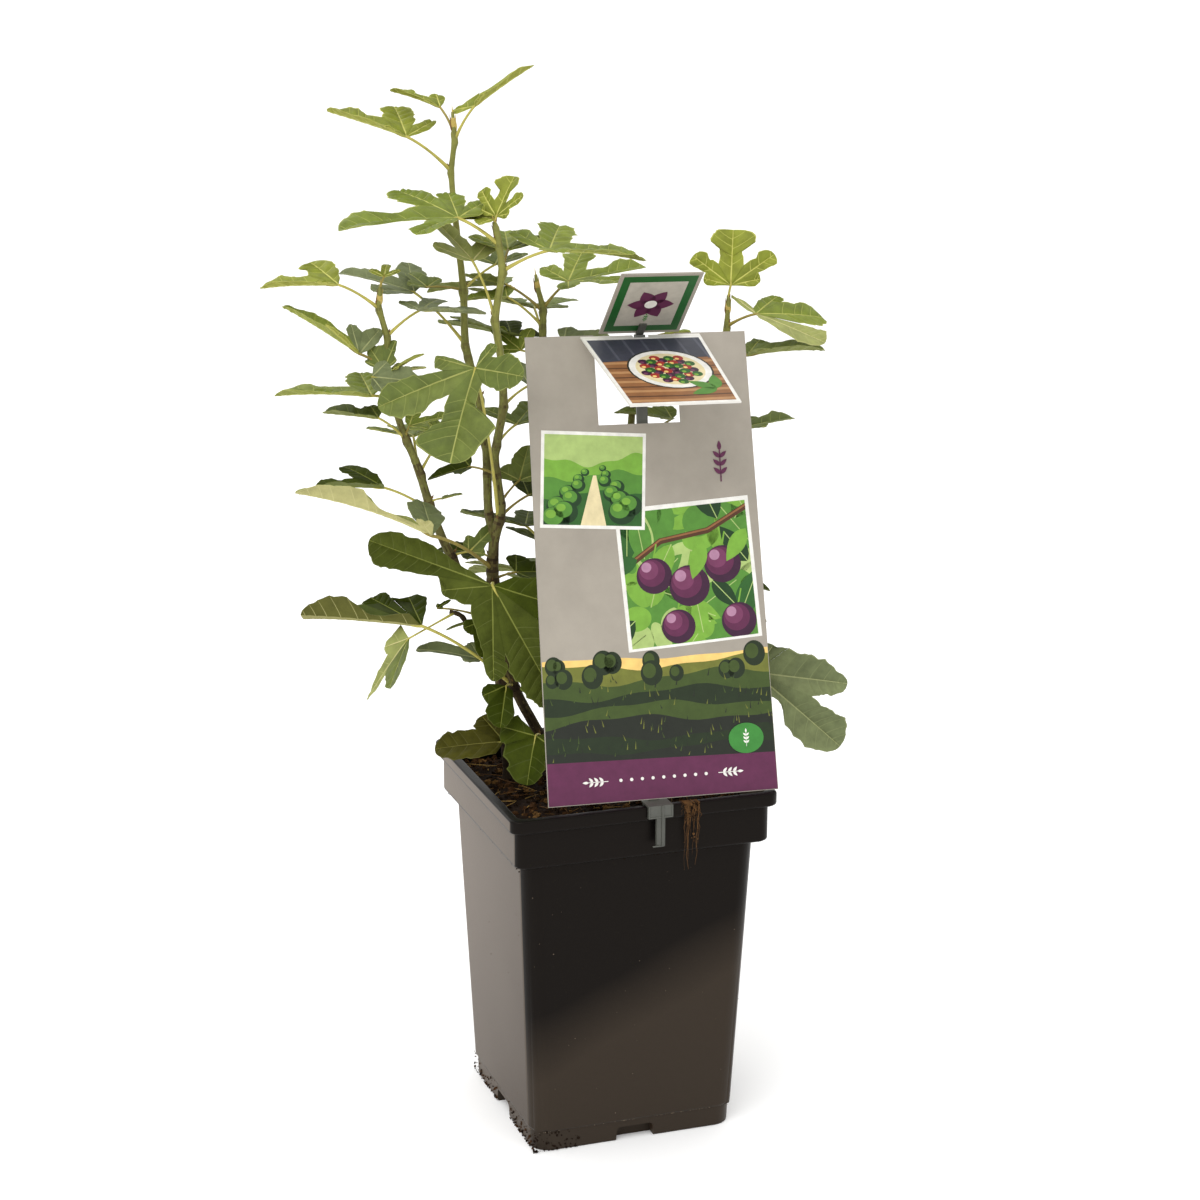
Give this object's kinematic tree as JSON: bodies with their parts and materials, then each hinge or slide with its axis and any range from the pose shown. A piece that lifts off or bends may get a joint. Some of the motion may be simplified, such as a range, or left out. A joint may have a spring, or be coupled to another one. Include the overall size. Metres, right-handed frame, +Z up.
{
  "type": "fig tree in a pot",
  "caption": "Young fig bush of several upright shoots with lobed leaves, in a square nursery pot with a picture card clipped to its rim.",
  "frame": {"origin": "centre of the pot's flat underside", "axes": "+Z up; -Y towards the face of the pot that carries the picture card; -X towards the pot's left face seen from there"},
  "size_m": [0.32, 0.2157, 0.5819],
  "materials": {
    "pot": "satin moulded",
    "soil": "loose peat",
    "bark": "smooth young bark",
    "foliage": "satin leaf",
    "card": "printed",
    "holder": "moulded"
  },
  "bodies": {
    "root": {"bough_back": "bark", "bough_left": "bark", "bough_right": "bark", "bough_tall": "bark", "card": "card", "card_flap": "card", "card_holder": "holder", "card_plate": "card", "foliage_back": "foliage", "foliage_back_low": "foliage", "foliage_front_low": "foliage", "foliage_front_top": "foliage", "foliage_left_low": "foliage", "foliage_left_mid": "foliage", "foliage_left_top": "foliage", "foliage_low_right": "foliage", "foliage_middle": "foliage", "foliage_right": "foliage", "foliage_right_low": "foliage", "foliage_tall": "foliage", "leaf_front_large": "foliage", "leaf_left_dark": "foliage", "leaf_left_long": "foliage", "leaf_right_dark": "foliage", "pot": "pot", "soil": "soil", "stem_back": "bark", "stem_left": "bark", "stem_low": "bark", "stem_middle": "bark", "stem_right": "bark", "trunk": "bark"}
  },
  "joints": []
}
